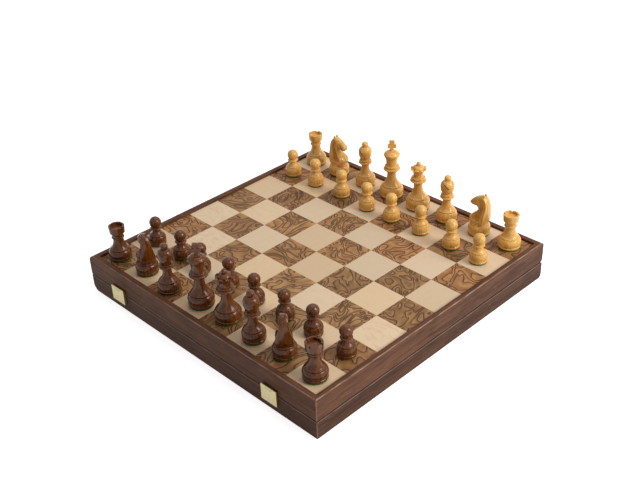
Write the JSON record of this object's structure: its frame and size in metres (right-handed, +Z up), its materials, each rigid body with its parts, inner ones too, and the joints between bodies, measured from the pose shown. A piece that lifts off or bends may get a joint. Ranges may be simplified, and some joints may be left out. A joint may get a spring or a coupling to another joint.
{
  "type": "chess box with hinged lid",
  "caption": "Wooden chess box with a hinged board lid, brass clasps and a set of turned chessmen set out on it",
  "frame": {"origin": "middle of the wooden box's underside, on the surface it stands on", "axes": "+Z up; the clasps face -Y, the hinges are at +Y, and +X points right for someone facing the clasps"},
  "size_m": [0.4032, 0.4034, 0.1327],
  "materials": {
    "rail_wood": "satin",
    "panel_wood": "matte",
    "light_veneer": "satin",
    "burl_veneer": "satin",
    "light_turned_wood": "gloss",
    "dark_turned_wood": "gloss",
    "lining_felt": "matte",
    "brass": "satin"
  },
  "bodies": {
    "base": {"base_rail_front": "rail_wood", "base_rail_right": "rail_wood", "base_rail_back": "rail_wood", "base_rail_left": "rail_wood", "base_panel": "panel_wood", "base_lining": "lining_felt", "hinge_base_leaves": "brass", "hinge_pins": "brass", "hinge_base_screws": "brass", "clasp_strike_plates": "brass", "clasp_strike_nails": "brass"},
    "lid": {"lid_rail_front": "rail_wood", "lid_rail_right": "rail_wood", "lid_rail_back": "rail_wood", "lid_rail_left": "rail_wood", "lid_panel": "panel_wood", "light_squares": "light_veneer", "burl_squares": "burl_veneer", "lid_lining": "lining_felt", "hinge_lid_leaves": "brass", "hinge_lid_screws": "brass", "clasp_hinge_plates": "brass", "clasp_pins": "brass", "clasp_lid_nails": "brass"},
    "clasp_left": {"clasp_flap_left": "brass"},
    "clasp_right": {"clasp_flap_right": "brass"},
    "light_rook_left_body": {"light_rook_left": "light_turned_wood"},
    "light_knight_left_body": {"light_knight_left": "light_turned_wood"},
    "light_bishop_left_body": {"light_bishop_left": "light_turned_wood"},
    "light_king_body": {"light_king": "light_turned_wood"},
    "light_queen_body": {"light_queen": "light_turned_wood"},
    "light_bishop_right_body": {"light_bishop_right": "light_turned_wood"},
    "light_knight_right_body": {"light_knight_right": "light_turned_wood"},
    "light_rook_right_body": {"light_rook_right": "light_turned_wood"},
    "light_pawn_1_body": {"light_pawn_1": "light_turned_wood"},
    "light_pawn_2_body": {"light_pawn_2": "light_turned_wood"},
    "light_pawn_3_body": {"light_pawn_3": "light_turned_wood"},
    "light_pawn_4_body": {"light_pawn_4": "light_turned_wood"},
    "light_pawn_5_body": {"light_pawn_5": "light_turned_wood"},
    "light_pawn_6_body": {"light_pawn_6": "light_turned_wood"},
    "light_pawn_7_body": {"light_pawn_7": "light_turned_wood"},
    "light_pawn_8_body": {"light_pawn_8": "light_turned_wood"},
    "dark_rook_left_body": {"dark_rook_left": "dark_turned_wood"},
    "dark_knight_left_body": {"dark_knight_left": "dark_turned_wood"},
    "dark_bishop_left_body": {"dark_bishop_left": "dark_turned_wood"},
    "dark_king_body": {"dark_king": "dark_turned_wood"},
    "dark_queen_body": {"dark_queen": "dark_turned_wood"},
    "dark_bishop_right_body": {"dark_bishop_right": "dark_turned_wood"},
    "dark_knight_right_body": {"dark_knight_right": "dark_turned_wood"},
    "dark_rook_right_body": {"dark_rook_right": "dark_turned_wood"},
    "dark_pawn_1_body": {"dark_pawn_1": "dark_turned_wood"},
    "dark_pawn_2_body": {"dark_pawn_2": "dark_turned_wood"},
    "dark_pawn_3_body": {"dark_pawn_3": "dark_turned_wood"},
    "dark_pawn_4_body": {"dark_pawn_4": "dark_turned_wood"},
    "dark_pawn_5_body": {"dark_pawn_5": "dark_turned_wood"},
    "dark_pawn_6_body": {"dark_pawn_6": "dark_turned_wood"},
    "dark_pawn_7_body": {"dark_pawn_7": "dark_turned_wood"},
    "dark_pawn_8_body": {"dark_pawn_8": "dark_turned_wood"}
  },
  "joints": [
    {"name": "lid_hinge", "type": "hinge", "parent": "base", "child": "lid", "pos_m": [0, 0.19705, 0.0239], "axis": [-1, 0, 0], "range_deg": [0, 94]},
    {"name": "clasp_left_hinge", "type": "hinge", "parent": "lid", "child": "clasp_left", "pos_m": [-0.14105, -0.20195, 0.0294], "axis": [-1, 0, 0], "range_deg": [0, 170]},
    {"name": "clasp_right_hinge", "type": "hinge", "parent": "lid", "child": "clasp_right", "pos_m": [0.13205, -0.20195, 0.0294], "axis": [-1, 0, 0], "range_deg": [0, 170]},
    {"name": "light_rook_left_lift", "type": "slide", "parent": "lid", "child": "light_rook_left_body", "axis": [0, 0, 1], "range_m": [0, 0.1]},
    {"name": "light_knight_left_lift", "type": "slide", "parent": "lid", "child": "light_knight_left_body", "axis": [0, 0, 1], "range_m": [0, 0.1]},
    {"name": "light_bishop_left_lift", "type": "slide", "parent": "lid", "child": "light_bishop_left_body", "axis": [0, 0, 1], "range_m": [0, 0.1]},
    {"name": "light_king_lift", "type": "slide", "parent": "lid", "child": "light_king_body", "axis": [0, 0, 1], "range_m": [0, 0.1]},
    {"name": "light_queen_lift", "type": "slide", "parent": "lid", "child": "light_queen_body", "axis": [0, 0, 1], "range_m": [0, 0.1]},
    {"name": "light_bishop_right_lift", "type": "slide", "parent": "lid", "child": "light_bishop_right_body", "axis": [0, 0, 1], "range_m": [0, 0.1]},
    {"name": "light_knight_right_lift", "type": "slide", "parent": "lid", "child": "light_knight_right_body", "axis": [0, 0, 1], "range_m": [0, 0.1]},
    {"name": "light_rook_right_lift", "type": "slide", "parent": "lid", "child": "light_rook_right_body", "axis": [0, 0, 1], "range_m": [0, 0.1]},
    {"name": "light_pawn_1_lift", "type": "slide", "parent": "lid", "child": "light_pawn_1_body", "axis": [0, 0, 1], "range_m": [0, 0.1]},
    {"name": "light_pawn_2_lift", "type": "slide", "parent": "lid", "child": "light_pawn_2_body", "axis": [0, 0, 1], "range_m": [0, 0.1]},
    {"name": "light_pawn_3_lift", "type": "slide", "parent": "lid", "child": "light_pawn_3_body", "axis": [0, 0, 1], "range_m": [0, 0.1]},
    {"name": "light_pawn_4_lift", "type": "slide", "parent": "lid", "child": "light_pawn_4_body", "axis": [0, 0, 1], "range_m": [0, 0.1]},
    {"name": "light_pawn_5_lift", "type": "slide", "parent": "lid", "child": "light_pawn_5_body", "axis": [0, 0, 1], "range_m": [0, 0.1]},
    {"name": "light_pawn_6_lift", "type": "slide", "parent": "lid", "child": "light_pawn_6_body", "axis": [0, 0, 1], "range_m": [0, 0.1]},
    {"name": "light_pawn_7_lift", "type": "slide", "parent": "lid", "child": "light_pawn_7_body", "axis": [0, 0, 1], "range_m": [0, 0.1]},
    {"name": "light_pawn_8_lift", "type": "slide", "parent": "lid", "child": "light_pawn_8_body", "axis": [0, 0, 1], "range_m": [0, 0.1]},
    {"name": "dark_rook_left_lift", "type": "slide", "parent": "lid", "child": "dark_rook_left_body", "axis": [0, 0, 1], "range_m": [0, 0.1]},
    {"name": "dark_knight_left_lift", "type": "slide", "parent": "lid", "child": "dark_knight_left_body", "axis": [0, 0, 1], "range_m": [0, 0.1]},
    {"name": "dark_bishop_left_lift", "type": "slide", "parent": "lid", "child": "dark_bishop_left_body", "axis": [0, 0, 1], "range_m": [0, 0.1]},
    {"name": "dark_king_lift", "type": "slide", "parent": "lid", "child": "dark_king_body", "axis": [0, 0, 1], "range_m": [0, 0.1]},
    {"name": "dark_queen_lift", "type": "slide", "parent": "lid", "child": "dark_queen_body", "axis": [0, 0, 1], "range_m": [0, 0.1]},
    {"name": "dark_bishop_right_lift", "type": "slide", "parent": "lid", "child": "dark_bishop_right_body", "axis": [0, 0, 1], "range_m": [0, 0.1]},
    {"name": "dark_knight_right_lift", "type": "slide", "parent": "lid", "child": "dark_knight_right_body", "axis": [0, 0, 1], "range_m": [0, 0.1]},
    {"name": "dark_rook_right_lift", "type": "slide", "parent": "lid", "child": "dark_rook_right_body", "axis": [0, 0, 1], "range_m": [0, 0.1]},
    {"name": "dark_pawn_1_lift", "type": "slide", "parent": "lid", "child": "dark_pawn_1_body", "axis": [0, 0, 1], "range_m": [0, 0.1]},
    {"name": "dark_pawn_2_lift", "type": "slide", "parent": "lid", "child": "dark_pawn_2_body", "axis": [0, 0, 1], "range_m": [0, 0.1]},
    {"name": "dark_pawn_3_lift", "type": "slide", "parent": "lid", "child": "dark_pawn_3_body", "axis": [0, 0, 1], "range_m": [0, 0.1]},
    {"name": "dark_pawn_4_lift", "type": "slide", "parent": "lid", "child": "dark_pawn_4_body", "axis": [0, 0, 1], "range_m": [0, 0.1]},
    {"name": "dark_pawn_5_lift", "type": "slide", "parent": "lid", "child": "dark_pawn_5_body", "axis": [0, 0, 1], "range_m": [0, 0.1]},
    {"name": "dark_pawn_6_lift", "type": "slide", "parent": "lid", "child": "dark_pawn_6_body", "axis": [0, 0, 1], "range_m": [0, 0.1]},
    {"name": "dark_pawn_7_lift", "type": "slide", "parent": "lid", "child": "dark_pawn_7_body", "axis": [0, 0, 1], "range_m": [0, 0.1]},
    {"name": "dark_pawn_8_lift", "type": "slide", "parent": "lid", "child": "dark_pawn_8_body", "axis": [0, 0, 1], "range_m": [0, 0.1]}
  ]
}
